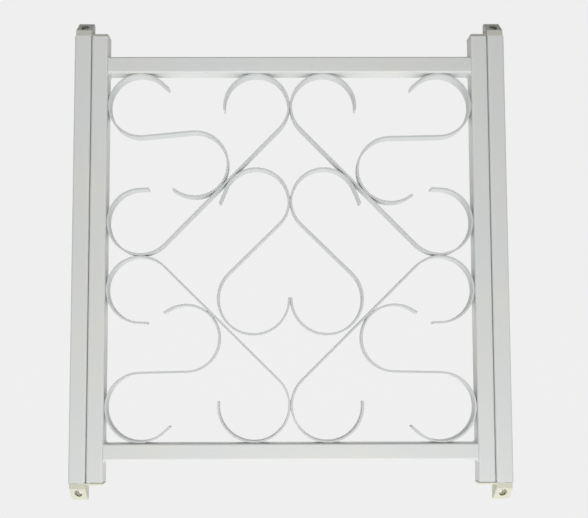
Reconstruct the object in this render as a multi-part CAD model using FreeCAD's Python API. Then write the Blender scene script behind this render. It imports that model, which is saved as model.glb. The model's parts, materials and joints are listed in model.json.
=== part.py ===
import FreeCAD, Part
import math
import os
from FreeCAD import Vector

# Window security guard: a welded frame of square tube filled with scrolled flat bar, hung between
# two fixed uprights.  The left side is the hinge, the right side has a latch at the top and bottom.
# Millimetres.  +X right, +Y into the building, +Z up.  The origin is the middle of the four wall
# screw holes, on the plane of the wall, so the street side of the guard faces -Y.

# Frame and uprights
frame_width = 609.6         # across the outer faces of the two frame posts
rail_span = 616.0           # top of the top rail to the underside of the bottom rail
upright_length = 682.0      # fixed upright, end to end
tube_size = 25.4            # every tube is square
tube_wall = 1.6
tube_corner = 3.0           # outside corner radius of the tube
seam_gap = 1.0              # between a frame post and its upright
post_end_gap = 0.8          # between a frame post's end and the bracket's ledge

# Scrolled flat bar
bar_depth = 19.0            # front to back
bar_thickness = 3.2
bar_edge = 0.5              # rounding of the rolled bar's edges
weld_gap = 0.1              # left where two pieces are welded along a curve
overcut = 1.0               # how far a cutter runs past a face, and a fused end into its neighbour

# Scroll pattern, drawn for an opening of this size; radii, tails and shifts follow the real opening
pattern_width = 558.8
pattern_height = 565.2
diamond_top_radius = 49.5   # lobes under the top rail
diamond_bottom_radius = 53.5
diamond_post_radius = 50.3  # lobes beside the posts
diamond_rail_tip = 187.0    # angle where the free end beside the rail stops curving
diamond_post_tip = 92.0
diamond_post_tail = 13.0    # straight end of the bar past the last of the curve
heart_radius = 50.0         # upper lobes of the heart, which rest against the diamond
heart_tip = 158.0
heart_tail = 25.0
heart_base_radius = 54.0    # lower lobes of the heart, down to the cusp
heart_base_gap = 3.5        # between the lower lobes and the diamond
heart_cusp_tip = 2.0
corner_top_radius = 48.5    # lobes in the corners of the frame
corner_bottom_radius = 51.5
corner_tip = 48.0
corner_tail = 14.0
curl_radius = 50.5          # free lobes of the corner scrolls, against the diamond
curl_tip = -122.0
curl_tail = 8.0
top_left_curl_shift = -0.7  # of a free lobe's centre from the height midway between the diamond's
top_right_curl_shift = -9.7     # lobes; the bars are bent by hand and differ a little
bottom_curl_shift = -13.7

# End brackets: a block on the upright, a spigot into it and a ledge over the frame post's end
bracket_height = 27.0
bracket_block_width = 24.0  # the block starts over the middle of the seam
bracket_land = 8.5          # upright face below the slope
bracket_slope_depth = 20.0
ledge_thickness = 3.2
ledge_end_rounding = 2.4    # along the free end's outer edge
spigot_length = 22.0
spigot_clearance = 0.2      # each side, inside the upright
bracket_edge = 0.8          # edge rounding
screw_hole_radius = 3.2
screw_head_radius = 5.8
screw_head_floor = 7.0      # material left under the screw head
screw_rise = 16.0           # hole's centre beyond the end of the upright

# Hinge and latches, both on pins beside the seam and the street face
pin_radius = 2.4
running_clearance = 0.05    # radial, pin in its plug
press_clearance = 0.02      # radial, pin in the ledge and stud in its carrier
keeper_clearance = 0.5      # radial, latch pin in the ledge
plug_length = 30.0
plug_clearance = 0.15       # each side, inside the post
plug_skin = 0.4             # least nylon between the pin's bore and the plug's side
washer_radius = 4.2
washer_play = 0.05
hinge_pin_depth = 26.0      # into the plug
latch_retreat = 1.0         # latch pin's tip below the post's end when open
latch_carrier_drop = 6.0    # carrier below the plug when the latch is open
latch_carrier_height = 9.0
latch_carrier_depth = 10.0
carrier_margin = 4.0        # from the stud's axis to the carrier's inner edge
latch_nose_chamfer = 0.6    # on the pin's tip
stud_radius = 2.0
stud_grip = 6.0             # stud's length inside the carrier
slot_clearance = 0.4        # around the stud, in the post's back wall
knob_standoff = 1.0         # knob's underside from the post's back wall
knob_radius = 6.5
knob_length = 11.0
knob_neck_radius = 4.0
knob_neck_length = 3.9
knob_grip_start = 5.5       # from the knob's underside to where it is full size
knob_grip_end = 9.4
knob_face_radius = 5.2

# Derived places
frame_half = frame_width / 2
rail_half = rail_span / 2
upright_half = upright_length / 2
post_half = upright_half - post_end_gap
tube_half = tube_size / 2
cavity = tube_size - 2 * tube_wall
cavity_corner = tube_corner - tube_wall
opening_half_width = frame_half - tube_size
opening_half_height = rail_half - tube_size
pattern_fit = 2 * min(opening_half_width / pattern_width, opening_half_height / pattern_height)
post_centre = frame_half - tube_half
upright_centre = frame_half + seam_gap + tube_half
block_inner = frame_half + seam_gap / 2
screw_x = block_inner + bracket_block_width / 2
pin_inset = tube_wall + plug_clearance + plug_skin + running_clearance + pin_radius
pin_x = frame_half - pin_inset
pin_y = -tube_size + pin_inset
latch_travel = latch_retreat + post_end_gap + ledge_thickness
bar_offset = (bar_thickness + weld_gap) / 2


def upright_edges(solid):
    """Edges of a plain box that run up and down."""
    return [edge for edge in solid.Edges if abs(edge.tangentAt(0).z) > 0.9]


def rounded_column(size, corner, bottom, top):
    """Square column standing on the Z axis with rounded long edges."""
    column = Part.makeBox(size, size, top - bottom, Vector(-size / 2, -size / 2, bottom))
    return column.makeFillet(corner, upright_edges(column))


def square_tube(length):
    """Tube standing on the Z axis, centred on its length."""
    outside = rounded_column(tube_size, tube_corner, -length / 2, length / 2)
    inside = rounded_column(cavity, cavity_corner, -length / 2 - overcut, length / 2 + overcut)
    return outside.cut(inside)


def placed(shape, x=0.0, y=0.0, z=0.0):
    """Copy of a shape moved to a place."""
    moved = shape.copy()
    moved.translate(Vector(x, y, z))
    return moved


def across(shape):
    """Copy of a shape mirrored left to right."""
    return shape.mirror(Vector(0, 0, 0), Vector(1, 0, 0))


def upside_down(shape):
    """Copy of a shape mirrored top to bottom."""
    return shape.mirror(Vector(0, 0, 0), Vector(0, 0, 1))


def save(name, shape):
    shape.exportStep("parts/" + name + ".step")


# Frame tubes and uprights

def latch_slot():
    """Cutter for the slot in the right post's back wall that the top latch's stud slides in."""
    half = stud_radius + slot_clearance
    depth = 2 * tube_wall
    low = Part.makeCylinder(half, depth, Vector(post_centre, -depth, stud_height()), Vector(0, 1, 0))
    low.translate(Vector(0, tube_wall / 2, 0))
    high = placed(low, z=latch_travel)
    middle = Part.makeBox(2 * half, depth, latch_travel,
                          Vector(post_centre - half, -depth + tube_wall / 2, stud_height()))
    return low.fuse(high).fuse(middle).removeSplitter()


def carrier_top():
    return post_half - plug_length - latch_carrier_drop


def stud_height():
    return carrier_top() - latch_carrier_height / 2


def frame_tubes():
    post = placed(square_tube(2 * post_half), y=-tube_half)
    save("left_frame_post", placed(post, x=-post_centre))
    right = placed(post, x=post_centre)
    right = right.cut(latch_slot()).cut(upside_down(latch_slot()))
    save("right_frame_post", right)
    rail = square_tube(2 * opening_half_width)
    rail.rotate(Vector(0, 0, 0), Vector(0, 1, 0), 90)
    save("top_rail", placed(rail, y=-tube_half, z=rail_half - tube_half))
    save("bottom_rail", placed(rail, y=-tube_half, z=-rail_half + tube_half))
    upright = placed(square_tube(upright_length), y=-tube_half)
    save("left_mounting_upright", placed(upright, x=-upright_centre))
    save("right_mounting_upright", placed(upright, x=upright_centre))


# Scrolls.  A lobe is (centre x, centre z, radius, turn, tip angle, tail): turn is 1 where the bar
# runs anticlockwise round it and -1 where it runs clockwise.  A scroll runs from the tail and tip of
# its first lobe, round it, along the line that touches both lobes, and round the second lobe.

def straight_direction(first, last):
    """Angle, in degrees, of the straight run between two lobes."""
    dx = last[0] - first[0]
    dz = last[1] - first[1]
    lean = (last[3] * last[2] - first[3] * first[2]) / math.hypot(dx, dz)
    return math.degrees(math.atan2(dz, dx) - math.asin(lean))


def swept_angles(lobe, start, end):
    """Start and end angle of the run round a lobe, unwound in its turning direction."""
    turn = lobe[3]
    sweep = (turn * (end - start)) % 360
    return start, start + turn * sweep


def bar_point(lobe, angle, side):
    """Point beside the bar's centre line, side millimetres to the left of its run."""
    reach = lobe[2] - side * lobe[3]
    turned = math.radians(angle)
    return Vector(lobe[0] + reach * math.cos(turned), 0, lobe[1] + reach * math.sin(turned))


def run_direction(lobe, angle):
    """Unit vector along the bar where it is at this angle round a lobe."""
    turned = math.radians(angle)
    return Vector(-lobe[3] * math.sin(turned), 0, lobe[3] * math.cos(turned))


def bar_side(first, last, side):
    """Edges along one side of a scroll's bar, and the two points where they start and end."""
    direction = straight_direction(first, last)
    start = bar_point(first, first[4], side) - run_direction(first, first[4]) * first[5]
    end = bar_point(last, last[4], side) + run_direction(last, last[4]) * last[5]
    edges = []
    here = start
    for lobe, angles in (
        (first, swept_angles(first, first[4], direction - 90 * first[3])),
        (last, swept_angles(last, direction - 90 * last[3], last[4])),
    ):
        marks = [bar_point(lobe, angle, side) for angle in (angles[0], sum(angles) / 2, angles[1])]
        if here.distanceToPoint(marks[0]) > 1e-6:
            edges.append(Part.LineSegment(here, marks[0]).toShape())
        edges.append(Part.Arc(*marks).toShape())
        here = marks[2]
    if here.distanceToPoint(end) > 1e-6:
        edges.append(Part.LineSegment(here, end).toShape())
    return edges, start, end


def scroll(first, last):
    """Flat bar bent round two lobes, standing on edge between the street and the room."""
    left, left_start, left_end = bar_side(first, last, bar_thickness / 2)
    right, right_start, right_end = bar_side(first, last, -bar_thickness / 2)
    ends = [Part.LineSegment(left_start, right_start).toShape(),
            Part.LineSegment(left_end, right_end).toShape()]
    outline = Part.Wire(Part.__sortEdges__(left + right + ends))
    bar = Part.Face(outline).extrude(Vector(0, bar_depth, 0))
    long_edges = [edge for edge in bar.Edges if edge.Length > 2 * bar_thickness
                  and abs(edge.tangentAt(edge.FirstParameter).y) < 0.1]
    bar = bar.makeFillet(bar_edge, long_edges)
    return placed(bar, y=-tube_half - bar_depth / 2)


def fitted(size):
    """A size of the scroll pattern, brought to the real opening."""
    return size * pattern_fit


def rail_lobe_centre(radius):
    return opening_half_height - bar_offset - radius


def post_lobe_centre(radius):
    return opening_half_width - bar_offset - radius


def diamond_lobes(rail_size):
    """Lobes of the upper left side of the diamond: under the rail, then beside the post."""
    rail_radius = fitted(rail_size)
    post_radius = fitted(diamond_post_radius)
    under_rail = (-rail_radius - bar_offset, rail_lobe_centre(rail_radius),
                  rail_radius, -1, diamond_rail_tip, 0)
    by_post = (-post_lobe_centre(post_radius), post_radius + bar_offset,
               post_radius, -1, diamond_post_tip, fitted(diamond_post_tail))
    return under_rail, by_post


def diamond_line(rail_size):
    """Upper left side of the diamond as its normal, pointing out, and its distance from the middle."""
    under_rail, by_post = diamond_lobes(rail_size)
    slope = math.radians(straight_direction(under_rail, by_post))
    normal = (math.sin(slope), -math.cos(slope))
    distance = under_rail[0] * normal[0] + under_rail[1] * normal[1] - under_rail[2]
    return normal, distance


def height_inside(rail_size, x, radius, gap):
    """Height at which a lobe at this x lies inside the diamond's upper left side with this gap."""
    normal, distance = diamond_line(rail_size)
    return (distance - radius - bar_thickness - gap - x * normal[0]) / normal[1]


def heart_lobes():
    """Lobes of the left half of the heart, from its upper free end down to the cusp."""
    upper_radius = fitted(heart_radius)
    upper_x = -upper_radius - bar_offset
    upper_z = height_inside(diamond_top_radius, upper_x, upper_radius, weld_gap)
    base_radius = fitted(heart_base_radius)
    base_x = -base_radius - bar_offset
    base_z = -height_inside(diamond_bottom_radius, base_x, base_radius, fitted(heart_base_gap))
    upper = (upper_x, upper_z, upper_radius, -1, heart_tip, fitted(heart_tail))
    base = (base_x, base_z, base_radius, 1, heart_cusp_tip, 0)
    return upper, base


def corner_lobes(rail_size, corner_size, curl_shift):
    """Lobes of an upper left corner scroll: in the corner, then the one against the diamond."""
    under_rail, by_post = diamond_lobes(rail_size)
    normal, distance = diamond_line(rail_size)
    radius = fitted(curl_radius)
    curl_z = (under_rail[1] + by_post[1]) / 2 + fitted(curl_shift)
    curl_x = (distance + radius + bar_thickness + weld_gap - curl_z * normal[1]) / normal[0]
    corner_radius = fitted(corner_size)
    corner = (-post_lobe_centre(corner_radius), rail_lobe_centre(corner_radius),
              corner_radius, 1, corner_tip, fitted(corner_tail))
    curl = (curl_x, curl_z, radius, -1, curl_tip, fitted(curl_tail))
    return corner, curl


def scrolls():
    top = scroll(*diamond_lobes(diamond_top_radius))
    save("diamond_scroll_top_left", top)
    save("diamond_scroll_top_right", across(top))
    bottom = upside_down(scroll(*diamond_lobes(diamond_bottom_radius)))
    save("diamond_scroll_bottom_left", bottom)
    save("diamond_scroll_bottom_right", across(bottom))
    heart = scroll(*heart_lobes())
    save("heart_scroll_left", heart)
    save("heart_scroll_right", across(heart))
    left = scroll(*corner_lobes(diamond_top_radius, corner_top_radius, top_left_curl_shift))
    save("corner_scroll_top_left", left)
    right = scroll(*corner_lobes(diamond_top_radius, corner_top_radius, top_right_curl_shift))
    save("corner_scroll_top_right", across(right))
    bottom = upside_down(scroll(*corner_lobes(diamond_bottom_radius, corner_bottom_radius,
                                              bottom_curl_shift)))
    save("corner_scroll_bottom_left", bottom)
    save("corner_scroll_bottom_right", across(bottom))


# End brackets

def bracket(pin_hole_radius):
    """Top right bracket: sloped block with a countersunk wall hole, spigot, and ledge."""
    left = block_inner
    top = upright_half + bracket_height
    profile = Part.makePolygon([
        Vector(left, 0, upright_half),
        Vector(left, -tube_size, upright_half),
        Vector(left, -tube_size, upright_half + bracket_land),
        Vector(left, -tube_size + bracket_slope_depth, top),
        Vector(left, 0, top),
        Vector(left, 0, upright_half),
    ])
    block = Part.Face(profile).extrude(Vector(bracket_block_width, 0, 0))
    block = block.makeFillet(bracket_edge, block.Edges)
    ledge = Part.makeBox(screw_x - opening_half_width, tube_size, ledge_thickness,
                         Vector(opening_half_width, -tube_size, upright_half))
    inner_corners = [edge for edge in upright_edges(ledge) if edge.CenterOfMass.x < frame_half]
    ledge = ledge.makeFillet(tube_corner, inner_corners)
    end_edges = [edge for edge in ledge.Edges
                 if edge.BoundBox.ZMin > upright_half + bracket_edge
                 and edge.CenterOfMass.x < opening_half_width + tube_corner]
    ledge = ledge.makeFillet(min(ledge_end_rounding, ledge_thickness - bracket_edge), end_edges)
    spigot_size = cavity - 2 * spigot_clearance
    spigot = placed(rounded_column(spigot_size, cavity_corner, upright_half - spigot_length,
                                   upright_half + overcut), x=upright_centre, y=-tube_half)
    body = block.fuse([ledge, spigot]).removeSplitter()
    hole_height = upright_half + screw_rise
    hole = Part.makeCylinder(screw_hole_radius, 2 * tube_size,
                             Vector(screw_x, -1.5 * tube_size, hole_height), Vector(0, 1, 0))
    seat = Part.makeCylinder(screw_head_radius, tube_size,
                             Vector(screw_x, -tube_size - screw_head_floor, hole_height),
                             Vector(0, 1, 0))
    pin_hole = Part.makeCylinder(pin_hole_radius, 2 * ledge_thickness,
                                 Vector(pin_x, pin_y, upright_half - ledge_thickness / 2))
    return body.cut(hole).cut(seat).cut(pin_hole)


def brackets():
    latch_side = bracket(pin_radius + keeper_clearance)
    hinge_side = across(bracket(pin_radius + press_clearance))
    save("end_bracket_top_right", latch_side)
    save("end_bracket_bottom_right", upside_down(latch_side))
    save("end_bracket_top_left", hinge_side)
    save("end_bracket_bottom_left", upside_down(hinge_side))


# Hinge and latches

def post_plug():
    """Plug for the top of the right post, bored for the pin beside the seam."""
    size = cavity - 2 * plug_clearance
    plug = placed(rounded_column(size, cavity_corner, post_half - plug_length, post_half),
                  x=post_centre, y=-tube_half)
    bore = Part.makeCylinder(pin_radius + running_clearance, plug_length + 2 * overcut,
                             Vector(pin_x, pin_y, post_half - plug_length - overcut))
    return plug.cut(bore)


def hinge():
    plug = across(post_plug())
    save("hinge_plug_top", plug)
    save("hinge_plug_bottom", upside_down(plug))
    bottom = post_half - hinge_pin_depth
    top = upright_half + ledge_thickness
    pin = Part.makeCylinder(pin_radius, top - bottom, Vector(-pin_x, pin_y, bottom))
    save("hinge_pin_top", pin)
    save("hinge_pin_bottom", upside_down(pin))
    thickness = post_end_gap - washer_play
    washer = Part.makeCylinder(washer_radius, thickness, Vector(-pin_x, pin_y, upright_half - thickness))
    hole = Part.makeCylinder(pin_radius + running_clearance, post_end_gap + 2 * overcut,
                             Vector(-pin_x, pin_y, post_half - overcut))
    washer = washer.cut(hole)
    save("hinge_washer_top", washer)
    save("hinge_washer_bottom", upside_down(washer))


def latch():
    plug = post_plug()
    save("latch_plug_top", plug)
    save("latch_plug_bottom", upside_down(plug))
    low = carrier_top() - latch_carrier_height
    tip = post_half - latch_retreat
    rod = Part.makeCylinder(pin_radius, tip - low, Vector(pin_x, pin_y, low))
    nose = rod.Edges[0] if rod.Edges[0].CenterOfMass.z > rod.CenterOfMass.z else rod.Edges[2]
    rod = rod.makeChamfer(latch_nose_chamfer, [nose])
    inner = post_centre - carrier_margin
    carrier = Part.makeBox(pin_x + pin_radius - inner, latch_carrier_depth, latch_carrier_height,
                           Vector(inner, pin_y - pin_radius, low))
    socket = Part.makeCylinder(stud_radius + press_clearance, stud_grip + overcut,
                               Vector(post_centre, carrier_back() - stud_grip, stud_height()),
                               Vector(0, 1, 0))
    pin = rod.fuse(carrier).removeSplitter().cut(socket)
    save("latch_pin_top", pin)
    save("latch_pin_bottom", upside_down(pin))
    save("latch_knob_top", latch_knob())
    save("latch_knob_bottom", upside_down(latch_knob()))


def carrier_back():
    return pin_y - pin_radius + latch_carrier_depth


def latch_knob():
    """Turned knob with its stud, pointing into the room."""
    stud_start = carrier_back() - stud_grip
    stud = Part.makeCylinder(stud_radius, knob_standoff - stud_start + overcut,
                             Vector(post_centre, stud_start, stud_height()), Vector(0, 1, 0))
    outline = [
        Vector(0, 0, 0),
        Vector(knob_neck_radius, 0, 0),
        Vector(knob_neck_radius, knob_neck_length, 0),
        Vector(knob_radius, knob_grip_start, 0),
        Vector(knob_radius, knob_grip_end, 0),
        Vector(knob_face_radius, knob_length, 0),
        Vector(0, knob_length, 0),
        Vector(0, 0, 0),
    ]
    turned = Part.Face(Part.makePolygon(outline)).revolve(Vector(0, 0, 0), Vector(0, 1, 0), 360)
    turned = placed(turned, x=post_centre, y=knob_standoff, z=stud_height())
    return stud.fuse(turned).removeSplitter()


os.makedirs("parts", exist_ok=True)
frame_tubes()
scrolls()
brackets()
hinge()
latch()
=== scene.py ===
import json
import math
import bpy
from mathutils import Matrix, Vector


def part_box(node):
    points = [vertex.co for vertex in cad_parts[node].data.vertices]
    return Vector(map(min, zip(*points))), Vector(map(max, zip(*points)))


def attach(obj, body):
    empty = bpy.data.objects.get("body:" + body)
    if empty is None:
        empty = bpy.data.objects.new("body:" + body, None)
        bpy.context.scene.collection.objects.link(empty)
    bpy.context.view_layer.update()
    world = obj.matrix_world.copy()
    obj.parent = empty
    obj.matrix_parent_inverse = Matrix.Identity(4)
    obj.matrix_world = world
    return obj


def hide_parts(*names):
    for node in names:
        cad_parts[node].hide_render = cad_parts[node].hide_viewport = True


# A window security guard: a welded frame of square tube filled with scrolled flat bar, hung between
# two fixed uprights.  Metres.  +X right, +Y into the building, +Z up, and the wall is at Y = 0.
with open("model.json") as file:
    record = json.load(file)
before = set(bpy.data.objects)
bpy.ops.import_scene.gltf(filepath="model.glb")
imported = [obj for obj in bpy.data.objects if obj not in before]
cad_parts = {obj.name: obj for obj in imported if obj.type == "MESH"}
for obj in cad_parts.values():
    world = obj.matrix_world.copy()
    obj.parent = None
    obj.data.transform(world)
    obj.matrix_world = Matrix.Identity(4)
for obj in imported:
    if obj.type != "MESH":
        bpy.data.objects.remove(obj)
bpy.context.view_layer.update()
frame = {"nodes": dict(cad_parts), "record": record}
nodes = frame["nodes"]


# ---- Square tube: two fixed uprights, two frame posts and two rails
# Cold-rolled square steel tube, sawn to length, dipped and sprayed with white powder coat.  The coat has a
# fine orange peel and drifts a little in tone.  Its rounded corners are painted lighter, partly where the
# coat thins and partly as a painted highlight, and its seams darker, partly grime and partly painted shade.

def add_node(tree, kind, **settings):
    """New shader node with its settings."""
    made = tree.nodes.new(kind)
    for name, value in settings.items():
        setattr(made, name, value)
    return made


def new_group(name, inputs, outputs):
    """Shader node group with its input and output nodes; sockets are (name, kind, start value)."""
    group = bpy.data.node_groups.new(name, "ShaderNodeTree")
    for label, kind, start in inputs:
        socket = group.interface.new_socket(name=label, in_out="INPUT", socket_type="NodeSocket" + kind)
        socket.default_value = start
    for label, kind in outputs:
        group.interface.new_socket(name=label, in_out="OUTPUT", socket_type="NodeSocket" + kind)
    return group, group.nodes.new("NodeGroupInput"), group.nodes.new("NodeGroupOutput")


def ranged(tree, value, low, high, new_low=0.0, new_high=1.0):
    """Value brought from one range to another and held inside it."""
    step = add_node(tree, "ShaderNodeMapRange")
    for label, number in (("From Min", low), ("From Max", high), ("To Min", new_low), ("To Max", new_high)):
        step.inputs[label].default_value = number
    tree.links.new(value, step.inputs["Value"])
    return step.outputs["Result"]


def worked(tree, operation, *terms):
    """Maths on terms, each a socket or a number."""
    step = add_node(tree, "ShaderNodeMath", operation=operation)
    for socket, term in zip(step.inputs, terms):
        if isinstance(term, (int, float)):
            socket.default_value = term
        else:
            tree.links.new(term, socket)
    return step.outputs[0]


def noise(tree, place, size, detail):
    """Noise whose blotches are about this size in metres, given as a number or a socket."""
    texture = add_node(tree, "ShaderNodeTexNoise")
    texture.inputs["Detail"].default_value = detail
    tree.links.new(place, texture.inputs["Vector"])
    tree.links.new(worked(tree, "DIVIDE", 1.0, size), texture.inputs["Scale"])
    return texture.outputs["Fac"]


def mixed(tree, amount, first, second):
    """Colour mixed from two colours, each a socket or a plain colour."""
    step = add_node(tree, "ShaderNodeMix", data_type="RGBA")
    tree.links.new(amount, step.inputs["Factor"])
    for socket, colour in ((step.inputs[6], first), (step.inputs[7], second)):
        if isinstance(colour, tuple):
            socket.default_value = (*colour, 1)
        else:
            tree.links.new(colour, socket)
    return step.outputs[2]


def build_surface_tone():
    """Slow drift between two colours, and a finer mottle for the gloss."""
    drift_size = 0.09
    drift_share = 0.75      # of the second colour, where the drift is strongest
    least_share = 0.12      # of the second colour, everywhere
    mottle_size = 0.012
    group, given, out = new_group(
        "Surface tone",
        [("Colour", "Color", (1, 1, 1, 1)), ("Second colour", "Color", (1, 1, 1, 1))],
        [("Colour", "Color"), ("Mottle", "Float")])
    place = add_node(group, "ShaderNodeTexCoord").outputs["Object"]
    drift = ranged(group, noise(group, place, drift_size, 2), 0.3, 0.7)
    mottle = noise(group, place, mottle_size, 4)
    blend = worked(group, "MULTIPLY_ADD", drift, drift_share, least_share)
    tone = mixed(group, blend, given.outputs["Colour"], given.outputs["Second colour"])
    group.links.new(tone, out.inputs["Colour"])
    group.links.new(mottle, out.inputs["Mottle"])
    return group


def build_fine_relief():
    """Height of a sprayed or cast skin, a soft peel with a sharper grain over it."""
    grain_size = 0.0006
    group, given, out = new_group(
        "Fine relief",
        [("Peel size", "Float", 0.0014), ("Grain share", "Float", 0.08)],
        [("Height", "Float")])
    place = add_node(group, "ShaderNodeTexCoord").outputs["Object"]
    peel = noise(group, place, given.outputs["Peel size"], 1)
    grain = noise(group, place, grain_size, 2)
    share = worked(group, "MULTIPLY", grain, given.outputs["Grain share"])
    group.links.new(worked(group, "ADD", peel, share), out.inputs["Height"])
    return group


def build_edge_wear_and_highlight():
    """Mask of outer edges, broken up where the finish is thicker, for wear and a painted highlight there.
    """
    patch_size = 0.006
    least_turn = 0.99       # cosine between the flat and the rounded normal where the wear and painted highlight begin
    full_turn = 0.8         # and where it is full
    group, given, out = new_group(
        "Edge wear and painted highlight", [("Width", "Float", 0.0008), ("Amount", "Float", 1.0)], [("Mask", "Float")])
    rounded = add_node(group, "ShaderNodeBevel", samples=4)
    group.links.new(given.outputs["Width"], rounded.inputs["Radius"])
    flat = add_node(group, "ShaderNodeNewGeometry").outputs["Normal"]
    agree = add_node(group, "ShaderNodeVectorMath", operation="DOT_PRODUCT")
    group.links.new(rounded.outputs[0], agree.inputs[0])
    group.links.new(flat, agree.inputs[1])
    edge = ranged(group, agree.outputs["Value"], least_turn, full_turn)
    place = add_node(group, "ShaderNodeTexCoord").outputs["Object"]
    broken = ranged(group, noise(group, place, patch_size, 4), 0.42, 0.62)
    mask = worked(group, "MULTIPLY", worked(group, "MULTIPLY", edge, broken), given.outputs["Amount"])
    group.links.new(mask, out.inputs["Mask"])
    return group


def build_crevice_grime_and_shade():
    """Mask of seams and inner corners where little light reaches, for painted shade there and the film that
    handling and rain leave.
    """
    patch_size = 0.01
    least_grime_and_shade = 0.35       # between the patches
    half_open = 0.75        # share of the view out of a place that is open where the grime and painted shade begin
    closed = 0.15           # and where it is full
    group, given, out = new_group(
        "Crevice grime and painted shade", [("Reach", "Float", 0.006), ("Amount", "Float", 1.0)], [("Mask", "Float")])
    shelter = add_node(group, "ShaderNodeAmbientOcclusion", samples=4)
    group.links.new(given.outputs["Reach"], shelter.inputs["Distance"])
    hidden = ranged(group, shelter.outputs["AO"], half_open, closed)
    place = add_node(group, "ShaderNodeTexCoord").outputs["Object"]
    patches = ranged(group, noise(group, place, patch_size, 4), 0.3, 0.7, least_grime_and_shade, 1.0)
    mask = worked(group, "MULTIPLY", worked(group, "MULTIPLY", hidden, patches), given.outputs["Amount"])
    group.links.new(mask, out.inputs["Mask"])
    return group


surface_tone = build_surface_tone()
fine_relief = build_fine_relief()
edge_wear_and_highlight_group = build_edge_wear_and_highlight()
crevice_grime_and_shade_group = build_crevice_grime_and_shade()


def finish_material(name, colours, worn_and_highlit_colour, grime_and_shade_colour, roughness, peel,
                    metallic=0.0, grime_and_shade_amount=0.7, wear_and_highlight_amount=0.6):
    """Material whose tone, edges, seams, gloss and skin all vary over the surface.

    colours is the pair that the tone drifts between, then come the colour of the edges, rubbed and also
    painted lighter as a painted highlight, and that of the seams, grimy and also painted darker as painted
    shade; roughness is the glossiest and dullest values, and peel the relief's size and height."""
    film_dullness = 0.25        # roughness that a full film of grime adds
    relief_strength = 0.35
    material = bpy.data.materials.new(name)
    material.use_nodes = True
    tree = material.node_tree
    shader = tree.nodes["Principled BSDF"]
    shader.inputs["Metallic"].default_value = metallic

    def placed_group(group, **values):
        made = add_node(tree, "ShaderNodeGroup", node_tree=group)
        for label, value in values.items():
            made.inputs[label.replace("_", " ")].default_value = value
        return made

    tone = placed_group(surface_tone, Colour=(*colours[0], 1), Second_colour=(*colours[1], 1))
    wear_and_highlight_node = placed_group(edge_wear_and_highlight_group, Amount=wear_and_highlight_amount)
    grime_and_shade_node = placed_group(crevice_grime_and_shade_group, Amount=grime_and_shade_amount)
    relief = placed_group(fine_relief, Peel_size=peel[0])
    # Edges take the lighter colour, partly wear and partly a painted highlight, and seams and hollows the
    # darker one, partly grime and partly painted shade.
    rubbed_and_highlit = mixed(tree, wear_and_highlight_node.outputs["Mask"], tone.outputs["Colour"], worn_and_highlit_colour)
    soiled_and_shaded = mixed(tree, grime_and_shade_node.outputs["Mask"], rubbed_and_highlit, grime_and_shade_colour)
    tree.links.new(soiled_and_shaded, shader.inputs["Base Color"])
    gloss = ranged(tree, tone.outputs["Mottle"], 0.3, 0.7, *roughness)
    dulled = worked(tree, "MULTIPLY_ADD", grime_and_shade_node.outputs["Mask"], film_dullness, gloss)
    tree.links.new(dulled, shader.inputs["Roughness"])
    bump = add_node(tree, "ShaderNodeBump")
    bump.inputs["Strength"].default_value = relief_strength
    bump.inputs["Distance"].default_value = peel[1]
    tree.links.new(relief.outputs["Height"], bump.inputs["Height"])
    tree.links.new(bump.outputs["Normal"], shader.inputs["Normal"])
    return material


def dress(names, material):
    """Gives a finish to CAD nodes."""
    for name in names:
        slots = nodes[name].material_slots
        for slot in slots:
            slot.material = material
        if not slots:
            nodes[name].data.materials.append(material)


# The lighter edge colour is partly wear and partly a painted highlight; the grime colour, kept faint here,
# is partly grime and partly painted shade in the seams between the tubes.
tube_finish = finish_material(
    "white_powder_coat_on_tube",
    colours=((0.78, 0.778, 0.74), (0.73, 0.762, 0.754)),
    worn_and_highlit_colour=(0.88, 0.88, 0.86), grime_and_shade_colour=(0.34, 0.35, 0.34),
    roughness=(0.32, 0.44), peel=(0.0020, 0.00010), grime_and_shade_amount=0.1)
tube_names = [name for name in nodes if name.endswith(("_upright", "_frame_post", "_rail"))]
dress(tube_names, tube_finish)


# ---- Welds between the rails and the posts
# Each rail is welded to its posts along the upper and lower corner, and the seam on the street face
# is ground flush.  The beads are laid before painting, so they carry the same coat as the tube.

tube_bead_radius = 0.0022
tube_bead_inset = 0.0026    # the bead stops short of the tube's rounded corners
bead_sides = 12
bead_end_share = 0.45       # a bead's end ring beside its full radius
bead_ripple = 0.12          # how much each pass stands above the hollow after it
rail_bead_passes = 9


def weld_bead(name, radius, length, passes):
    """Rippled bead along Y with its middle at the origin."""
    bpy.ops.object.select_all(action="DESELECT")
    bpy.ops.mesh.primitive_circle_add(
        vertices=bead_sides, radius=radius * bead_end_share, fill_type="NGON",
        location=(0, -length / 2, 0), rotation=(math.pi / 2, 0, 0))
    bead = bpy.context.object
    bead.name = name
    bpy.ops.object.transform_apply(location=True, rotation=True, scale=True)
    bpy.ops.object.mode_set(mode="EDIT")
    bpy.ops.mesh.select_all(action="SELECT")
    steps = 2 * passes
    size = bead_end_share
    for step in range(1, steps + 1):
        wanted = 1.0 if step % 2 else 1.0 - bead_ripple
        if step == steps:
            wanted = bead_end_share
        reach = -length / 2 + step * length / steps
        bpy.ops.mesh.extrude_region_move(TRANSFORM_OT_translate={"value": (0, length / steps, 0)})
        share = wanted / size
        bpy.ops.transform.resize(value=(share, 1, share), center_override=(0, reach, 0))
        size = wanted
    bpy.ops.mesh.select_all(action="SELECT")
    bpy.ops.mesh.remove_doubles(threshold=1e-6)
    bpy.ops.mesh.normals_make_consistent(inside=False)
    bpy.ops.object.mode_set(mode="OBJECT")
    return bead


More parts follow.
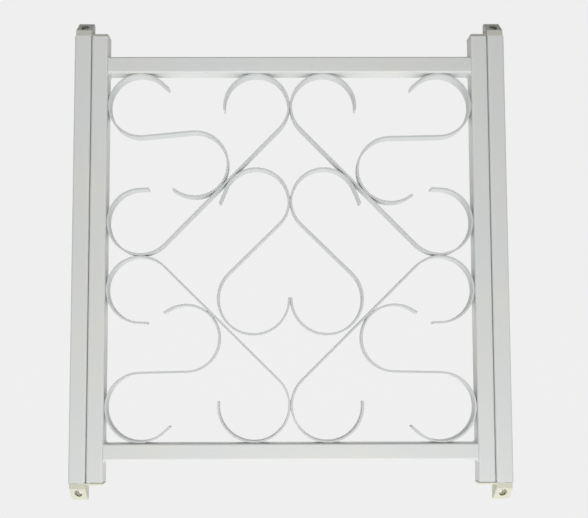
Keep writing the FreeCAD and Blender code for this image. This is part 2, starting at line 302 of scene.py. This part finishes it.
def laid(bead, name, places):
    """One piece made of copies of a bead at these places; the pattern bead goes."""
    copies = []
    for place in places:
        copy = bead.copy()
        copy.data = bead.data.copy()
        copy.data.transform(Matrix.Translation(place))
        bpy.context.scene.collection.objects.link(copy)
        copies.append(copy)
    bpy.data.objects.remove(bead)
    bpy.ops.object.select_all(action="DESELECT")
    for copy in copies:
        copy.select_set(True)
    bpy.context.view_layer.objects.active = copies[0]
    bpy.ops.object.join()
    piece = bpy.context.object
    piece.name = name
    bpy.ops.object.shade_smooth_by_angle(angle=math.radians(50))
    return piece


top_rail_low, top_rail_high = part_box("top_rail")
post_inner_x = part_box("right_frame_post")[0].x
tube_middle_y = (top_rail_low.y + top_rail_high.y) / 2
tube_depth = top_rail_high.y - top_rail_low.y
corner_places = [Vector((side * post_inner_x, tube_middle_y, end * height))
                 for side in (-1, 1) for end in (-1, 1)
                 for height in (top_rail_low.z, top_rail_high.z)]
rail_bead = weld_bead("rail_bead", tube_bead_radius, tube_depth - 2 * tube_bead_inset, rail_bead_passes)
rail_welds = laid(rail_bead, "rail_welds", corner_places)
rail_welds.data.materials.append(tube_finish)
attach(rail_welds, "guard_frame")


# ---- Scrolls of flat bar
# Ten bars of hot-rolled flat, bent cold round a former and standing on edge.  They are painted with
# the frame, and the coat lies a little rougher on the rolled skin.

# The lighter edge colour is partly wear and partly a painted highlight; the grime colour is partly grime
# and partly painted shade in the notches where the bars meet.
scroll_finish = finish_material(
    "white_powder_coat_on_bar",
    colours=((0.69, 0.70, 0.69), (0.63, 0.66, 0.66)),
    worn_and_highlit_colour=(0.88, 0.88, 0.87), grime_and_shade_colour=(0.30, 0.31, 0.30),
    roughness=(0.30, 0.42), peel=(0.0016, 0.00008), grime_and_shade_amount=0.3, wear_and_highlight_amount=0.3)
dress([name for name in nodes if "_scroll_" in name], scroll_finish)


# ---- Tack welds of the scrolls
# Wherever a scroll rests on a rail, a post or another scroll, a short bead fills the notch on each
# side of the line of contact, and at the heart's base on its lower side only, because the bars end
# there.  The beads stop short of the bars' street and room edges.

bar_thickness = 0.0032
bar_depth = 0.019
bar_offset = bar_thickness / 2 + 0.00005    # from a bar's centre line to the line of contact
tack_radius = 0.0011
tack_spread = 0.0065        # of each bead from the line of contact
tack_inset = 0.002
tack_passes = 7
both_sides = (-1, 1)
lower_side = (-1,)

lobes = {}
for opening in frame["record"]["physics"]["openings"]:
    low, high = opening["box_m"]
    lobes[opening["name"]] = Vector(((low[0] + high[0]) / 2, (low[2] + high[2]) / 2))


def contacts():
    """Each line of contact: its place, the direction along both faces in X and Z, and its two sides."""
    found = []
    for name, centre in lobes.items():
        side = math.copysign(1, centre.x)
        end = math.copysign(1, centre.y)
        if name.startswith("diamond") and name.endswith("rail_lobe") or name.endswith("corner_lobe"):
            found.append((Vector((centre.x, end * top_rail_low.z)), Vector((1, 0)), both_sides))
        if name.endswith(("post_lobe", "corner_lobe")):
            found.append((Vector((side * post_inner_x, centre.y)), Vector((0, 1)), both_sides))
        if "left_rail_lobe" in name or name == "heart_left_upper_lobe":
            found.append((Vector((0, centre.y)), Vector((0, 1)), both_sides))
        if name == "heart_left_lower_lobe":
            found.append((Vector((0, centre.y)), Vector((0, 1)), lower_side))
        if name.startswith("diamond_top") and name.endswith("post_lobe"):
            found.append((Vector((centre.x, 0)), Vector((1, 0)), both_sides))
    return found


def diamond_contacts():
    """Contacts along the four straight sides of the diamond, outside and inside it."""
    found = []
    for end, end_sign in (("top", 1), ("bottom", -1)):
        for side, side_sign in (("left", -1), ("right", 1)):
            turned = Vector((side_sign, end_sign))
            rail_lobe = lobes[f"diamond_{end}_{side}_rail_lobe"] * turned
            post_lobe = lobes[f"diamond_{end}_{side}_post_lobe"] * turned
            apart = rail_lobe - post_lobe
            rail_radius = rail_lobe.x - bar_offset
            post_radius = post_lobe.y - bar_offset
            facing = (math.atan2(apart.y, apart.x)
                      - math.acos((rail_radius - post_radius) / apart.length))
            normal = Vector((math.cos(facing), math.sin(facing)))
            distance = normal.dot(rail_lobe) - rail_radius
            touching = [(lobes[f"corner_{end}_{side}_inner_lobe"], distance + bar_offset)]
            if end == "top":
                touching.append((lobes[f"heart_{side}_upper_lobe"], distance - bar_offset))
            for lobe, level in touching:
                centre = lobe * turned
                place = centre + normal * (level - normal.dot(centre))
                found.append((place * turned, Vector((-normal.y, normal.x)) * turned, both_sides))
    return found


tack_places = [Vector((place.x + side * tack_spread * along.x, tube_middle_y,
                       place.y + side * tack_spread * along.y))
               for place, along, sides in contacts() + diamond_contacts() for side in sides]
tack_bead = weld_bead("tack_bead", tack_radius, bar_depth - 2 * tack_inset, tack_passes)
scroll_tacks = laid(tack_bead, "scroll_tacks", tack_places)
scroll_tacks.data.materials.append(scroll_finish)
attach(scroll_tacks, "guard_frame")


# ---- End brackets
# Zinc castings with a cream enamel, one at each corner.  The block takes the wall screw in a sunk
# seat, its spigot is driven into the upright, and its thin ledge covers the end of the frame post.
# The upper pair gets a darker copy of the enamel, painted shade for the less light that reaches them from
# below.

# The grime colour darkens the sunk seat and the hole partly as grime and partly as painted shade; the
# lighter edge colour is partly wear and partly a painted highlight.
lower_bracket_finish = finish_material(
    "cream_enamel_on_casting",
    colours=((0.72, 0.71, 0.57), (0.65, 0.65, 0.54)),
    worn_and_highlit_colour=(0.86, 0.85, 0.78), grime_and_shade_colour=(0.16, 0.15, 0.12),
    roughness=(0.36, 0.52), peel=(0.0013, 0.00018), grime_and_shade_amount=0.9)
# The upper pair's enamel is a darker copy of the lower pair's, painted shade for the less light that
# reaches them from below.
painted_shade_upper_bracket_finish = finish_material(
    "painted_shade_cream_enamel_on_casting",
    colours=((0.60, 0.60, 0.53), (0.55, 0.555, 0.50)),
    worn_and_highlit_colour=(0.80, 0.80, 0.75), grime_and_shade_colour=(0.10, 0.10, 0.08),
    roughness=(0.40, 0.56), peel=(0.0013, 0.00018), grime_and_shade_amount=0.9)
dress([name for name in nodes if name.startswith("end_bracket_bottom")], lower_bracket_finish)
dress([name for name in nodes if name.startswith("end_bracket_top")], painted_shade_upper_bracket_finish)


# ---- Hinge pins and latch pins
# Drawn steel rod with a bright zinc plate.  The hinge pins are pressed into the left ledges, and each
# latch pin is made in one with a small carrier that slides in the right post.

steel_finish = finish_material(
    "zinc_plated_steel",
    colours=((0.60, 0.61, 0.62), (0.52, 0.53, 0.55)),
    worn_and_highlit_colour=(0.75, 0.75, 0.74), grime_and_shade_colour=(0.16, 0.14, 0.12),
    roughness=(0.24, 0.42), peel=(0.0008, 0.00005), metallic=1.0)
dress([name for name in nodes if name.startswith(("hinge_pin", "latch_pin"))], steel_finish)


# ---- Washers
# Natural nylon, punched from sheet, between the left ledges and the frame post's ends.

washer_finish = finish_material(
    "natural_nylon",
    colours=((0.80, 0.79, 0.74), (0.75, 0.74, 0.69)),
    worn_and_highlit_colour=(0.86, 0.84, 0.78), grime_and_shade_colour=(0.35, 0.32, 0.26),
    roughness=(0.42, 0.56), peel=(0.0006, 0.00004))
dress([name for name in nodes if name.startswith("hinge_washer")], washer_finish)


# ---- Plugs in the posts' ends
# Grey moulded nylon, driven into the tube and bored for the pin that runs in it.

plug_finish = finish_material(
    "grey_moulded_nylon",
    colours=((0.71, 0.71, 0.68), (0.66, 0.66, 0.63)),
    worn_and_highlit_colour=(0.78, 0.78, 0.75), grime_and_shade_colour=(0.30, 0.29, 0.26),
    roughness=(0.42, 0.60), peel=(0.0007, 0.00008))
dress([name for name in nodes if "_plug_" in name], plug_finish)


# ---- Latch knobs
# Turned from zinc-plated steel in one piece with the stud, which passes through a slot in the post's
# back wall into the latch pin's carrier.  The grip is fluted for the fingers.

stud_radius = 0.002
knob_length = 0.011
knob_radius = 0.0065
knob_sides = 48
knob_rings = (      # from the knob's underside: height and radius of each turned ring
    (0.0, 0.0040), (0.0039, 0.0040), (0.0050, 0.0062), (0.0058, knob_radius),
    (0.0092, knob_radius), (0.0101, 0.0060), (0.0109, 0.0050))
flute_depth = 0.0004
flute_margin = 0.00008      # left on each side of a flute
knob_edge = 0.00012         # rounding of the knob's edges
dish_radius_share = 0.72    # of the dish turned into the knob's end
dish_depth = 0.0005
sharp_edge = math.radians(35)

knob_finish = finish_material(
    "zinc_plated_knob",
    colours=((0.67, 0.68, 0.70), (0.60, 0.61, 0.63)),
    worn_and_highlit_colour=(0.78, 0.77, 0.73), grime_and_shade_colour=(0.18, 0.16, 0.13),
    roughness=(0.26, 0.40), peel=(0.0008, 0.00006), metallic=1.0, wear_and_highlight_amount=0.8)


def pick_faces(mesh, wanted):
    """Selects these faces of a mesh and nothing else, for the edit that follows."""
    for part in (*mesh.vertices, *mesh.edges, *mesh.polygons):
        part.select = False
    for face in wanted:
        face.select = True
    bpy.context.tool_settings.mesh_select_mode = (False, False, True)


def turned_knob(name, low, high):
    """Knob with its stud, turned about the Y axis in the middle of this box."""
    underside = high.y - knob_length
    stud_length = underside - low.y
    bpy.ops.object.select_all(action="DESELECT")
    bpy.ops.mesh.primitive_cylinder_add(
        vertices=knob_sides, radius=stud_radius, depth=stud_length,
        location=(0, low.y + stud_length / 2, 0), rotation=(math.pi / 2, 0, 0))
    knob = bpy.context.object
    knob.name = name
    bpy.ops.object.transform_apply(location=True, rotation=True, scale=True)
    pick_faces(knob.data, [face for face in knob.data.polygons if face.normal.y > 0.9])
    bpy.ops.object.mode_set(mode="EDIT")
    radius = stud_radius
    height = 0.0
    for ring_height, ring_radius in knob_rings:
        bpy.ops.mesh.extrude_region_move(
            TRANSFORM_OT_translate={"value": (0, ring_height - height, 0)})
        share = ring_radius / radius
        bpy.ops.transform.resize(value=(share, 1, share),
                                 center_override=(0, underside + ring_height, 0))
        radius = ring_radius
        height = ring_height
    bpy.ops.mesh.inset(thickness=radius * (1 - dish_radius_share))
    bpy.ops.transform.translate(value=(0, -dish_depth, 0))
    bpy.ops.object.mode_set(mode="OBJECT")
    grip_faces = [face for face in knob.data.polygons
                  if abs(face.normal.y) < 0.05
                  and math.hypot(face.center.x, face.center.z) > knob_radius - flute_depth]
    grip_faces.sort(key=lambda face: math.atan2(face.center.z, face.center.x))
    pick_faces(knob.data, grip_faces[::2])
    bpy.ops.object.mode_set(mode="EDIT")
    bpy.ops.mesh.inset(thickness=flute_margin, depth=-flute_depth, use_individual=True)
    bpy.ops.mesh.select_all(action="SELECT")
    bpy.ops.mesh.remove_doubles(threshold=1e-6)
    bpy.ops.mesh.normals_make_consistent(inside=False)
    bpy.ops.object.mode_set(mode="OBJECT")
    rounding = knob.modifiers.new("edges", "BEVEL")
    rounding.width = knob_edge
    rounding.segments = 2
    rounding.limit_method = "ANGLE"
    rounding.angle_limit = sharp_edge
    bpy.ops.object.modifier_apply(modifier="edges")
    bpy.ops.object.shade_smooth_by_angle(angle=sharp_edge)
    middle = Vector(((low.x + high.x) / 2, 0, (low.z + high.z) / 2))
    knob.data.transform(Matrix.Translation(middle))
    knob.data.materials.append(knob_finish)
    return knob


for end in ("top", "bottom"):
    cad_knob = f"latch_knob_{end}"
    knob = turned_knob(f"fluted_knob_{end}", *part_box(cad_knob))
    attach(knob, f"{end}_latch")
    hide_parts(cad_knob)


# ---- Floor and sweep
# One pale sheet of paper makes the floor, a wide bend behind the guard, and the wall.
# It gives off a soft light of its own, so that it stays even and the guard casts no hard shadow.

sheet_half_width = 5.0
floor_front = -4.0
bend_start = 2.6
floor_height = -1.5
wall_height = 6.0
bend_size = 1.2
bend_steps = 16
paper_white = 0.848
paper_dark = 0.02           # what the paper itself throws back, so that the lamps leave no patch on it

bpy.ops.object.select_all(action="DESELECT")
bpy.ops.mesh.primitive_plane_add(size=2, location=(0, 0, floor_height))
sweep = bpy.context.object
sweep.name = "paper_sweep"
sweep.scale = (sheet_half_width, (bend_start - floor_front) / 2, 1)
sweep.location.y = (bend_start + floor_front) / 2
bpy.ops.object.transform_apply(location=True, rotation=True, scale=True)
pick_faces(sweep.data, [])
back_corners = {vertex.index for vertex in sweep.data.vertices if vertex.co.y > 0}
for edge in sweep.data.edges:
    edge.select = back_corners.issuperset(edge.vertices)
bpy.context.tool_settings.mesh_select_mode = (False, True, False)
bpy.ops.object.mode_set(mode="EDIT")
bpy.ops.mesh.extrude_region_move(TRANSFORM_OT_translate={"value": (0, 0, wall_height)})
bpy.ops.object.mode_set(mode="OBJECT")
bend = sweep.modifiers.new("bend", "BEVEL")
bend.width = bend_size
bend.segments = bend_steps
bpy.ops.object.modifier_apply(modifier="bend")
bpy.ops.object.shade_smooth()

paper = bpy.data.materials.new("pale_paper")
paper.use_nodes = True
paper_shader = paper.node_tree.nodes["Principled BSDF"]
paper_shader.inputs["Base Color"].default_value = (paper_dark, paper_dark, paper_dark, 1)
paper_shader.inputs["Roughness"].default_value = 1.0
paper_shader.inputs["Emission Color"].default_value = (paper_white, paper_white, paper_white, 1)
paper_shader.inputs["Emission Strength"].default_value = 1.0
sweep.data.materials.append(paper)


# ---- Soft light
# A broad low light and a weaker high one, both in front of the guard, with the pale paper behind and
# below it.  The room beyond the paper is the same tone, and shows and is mirrored but gives no light.

scene = bpy.context.scene
world = bpy.data.worlds.new("pale_room")
scene.world = world
world.use_nodes = True
room_tone = world.node_tree.nodes["Background"].inputs["Color"]
room_tone.default_value = (paper_white, paper_white, paper_white, 1)
world.cycles_visibility.diffuse = False
scene.view_settings.view_transform = "Standard"


def soft_light(name, place, target, size, power):
    """Square light at a place, facing a target; its size is in metres and its power in watts."""
    data = bpy.data.lights.new(name, "AREA")
    data.shape = "SQUARE"
    data.size = size
    data.energy = power
    light = bpy.data.objects.new(name, data)
    light.location = place
    light.rotation_euler = (Vector(target) - Vector(place)).to_track_quat("-Z", "Y").to_euler()
    light.visible_camera = False
    scene.collection.objects.link(light)


soft_light("low_front_light", (0.1, -1.5, -1.1), (0, 0, 0), 1.2, 19)
soft_light("high_front_light", (-0.1, -1.6, 0.9), (0, 0, 0.2), 1.0, 6.5)


# ---- Camera
# It stands on the street side, 1.2 m from the guard and level with the lower corner scrolls, and
# looks slightly up.  The lens is shifted so that the whole guard is in the frame.

camera_place = Vector((-0.0271, -1.1967, -0.1646))
camera_yaw = 0.0037
camera_pitch = 0.0681
camera_roll = -0.0020
camera_data = bpy.data.cameras.new("camera")
camera_data.lens = 47.72
camera_data.shift_x = 0.0317
camera_data.shift_y = 0.0879
camera = bpy.data.objects.new("camera", camera_data)
camera.matrix_world = (Matrix.Translation(camera_place)
                       @ Matrix.Rotation(-camera_yaw, 4, "Z")
                       @ Matrix.Rotation(math.pi / 2 + camera_pitch, 4, "X")
                       @ Matrix.Rotation(camera_roll, 4, "Z"))
scene.collection.objects.link(camera)
scene.camera = camera
